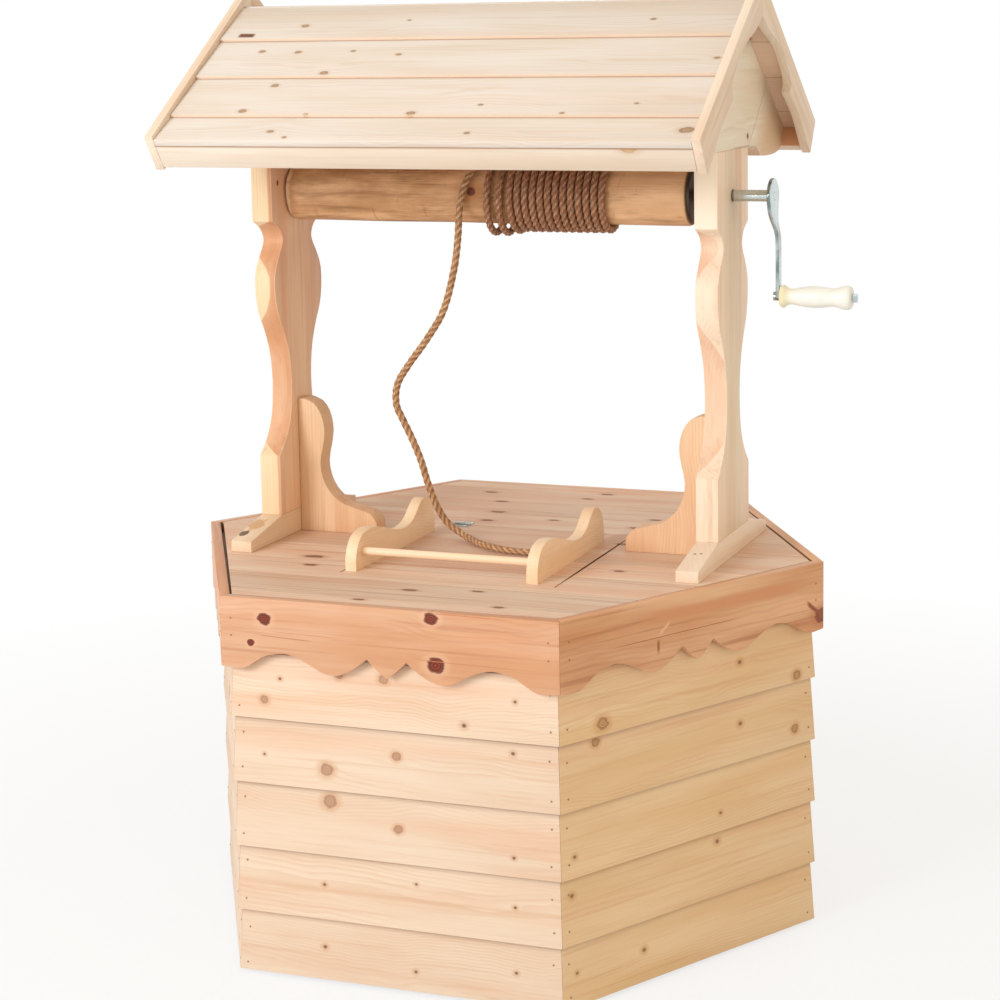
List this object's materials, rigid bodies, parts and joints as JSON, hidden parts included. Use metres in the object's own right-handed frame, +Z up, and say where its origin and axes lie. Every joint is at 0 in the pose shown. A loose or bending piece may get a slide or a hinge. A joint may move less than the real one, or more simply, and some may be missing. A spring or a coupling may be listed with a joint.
{
  "type": "wishing well planter",
  "caption": "Hexagonal boarded well base with a hinged hatch, two shaped posts, a rope windlass with a hand crank, and a gabled board roof.",
  "frame": {"origin": "middle of the overall box in X and Y, on the ground; the hexagon's centre is 26 mm from it towards -X", "axes": "+Z up, +X along the roller towards the crank, -Y the front, where the hatch's handle is"},
  "size_m": [1.1167, 0.9226, 1.4789],
  "materials": {
    "board_pine": "planed pale pine boards",
    "apron_pine": "planed reddish pine with dark knots",
    "deck_pine": "planed pine, tan",
    "post_pine": "sawn outline, planed faces",
    "roof_pine": "very pale planed pine",
    "round_pole": "rough brown round pole",
    "rope": "three-strand laid natural fibre",
    "bright_steel": "bright zinc plate",
    "ivory_grip": "smooth ivory plastic"
  },
  "bodies": {
    "well": {"cladding_front": "board_pine", "cladding_front_right": "board_pine", "cladding_back_right": "board_pine", "cladding_back": "board_pine", "cladding_back_left": "board_pine", "cladding_front_left": "board_pine", "apron_front": "apron_pine", "apron_front_right": "apron_pine", "apron_back_right": "apron_pine", "apron_back": "apron_pine", "apron_back_left": "apron_pine", "apron_front_left": "apron_pine", "corner_stud_front_right": "board_pine", "corner_stud_right": "board_pine", "corner_stud_back_right": "board_pine", "corner_stud_back_left": "board_pine", "corner_stud_left": "board_pine", "corner_stud_front_left": "board_pine", "deck_front_board": "deck_pine", "deck_notched_board": "deck_pine", "deck_left_boards": "deck_pine", "deck_right_boards": "deck_pine", "deck_back_boards": "deck_pine", "deck_joist_left": "board_pine", "deck_joist_right": "board_pine", "post_foot_left": "post_pine", "post_left": "post_pine", "gusset_left": "post_pine", "gable_left": "post_pine", "hinge_deck_leaf_left": "bright_steel", "post_foot_right": "post_pine", "post_right": "post_pine", "gusset_right": "post_pine", "gable_right": "post_pine", "hinge_deck_leaf_right": "bright_steel", "roof_boards_front": "roof_pine", "eave_fascia_front": "roof_pine", "barge_front_left": "roof_pine", "barge_front_right": "roof_pine", "roof_boards_back": "roof_pine", "eave_fascia_back": "roof_pine", "barge_back_left": "roof_pine", "barge_back_right": "roof_pine", "ridge_cap": "roof_pine", "rope_tail": "rope"},
    "windlass": {"roller": "round_pole", "crank_shaft": "bright_steel", "crank_arm": "bright_steel", "pivot_pin": "bright_steel", "grip_bolt": "bright_steel", "rope_coil": "rope"},
    "grip": {"crank_grip": "ivory_grip"},
    "hatch": {"hatch_panel": "deck_pine", "hatch_batten_left": "board_pine", "hatch_batten_right": "board_pine", "handle_bracket_left": "post_pine", "handle_bracket_right": "post_pine", "handle_dowel": "post_pine", "hinge_hatch_leaf_left": "bright_steel", "hinge_hatch_leaf_right": "bright_steel"}
  },
  "joints": [
    {"name": "windlass_spin", "type": "hinge", "parent": "well", "child": "windlass", "pos_m": [-0.02575, 0, 1.149], "axis": [1, 0, 0], "continuous": true, "deforming": ["rope_tail"]},
    {"name": "grip_spin", "type": "hinge", "parent": "windlass", "child": "grip", "pos_m": [0.49425, 0, 0.996], "axis": [1, 0, 0], "continuous": true},
    {"name": "hatch_hinge", "type": "hinge", "parent": "well", "child": "hatch", "pos_m": [-0.02575, 0.09375, 0.5876], "axis": [-1, 0, 0], "range_deg": [0, 135], "deforming": ["rope_tail"]}
  ]
}
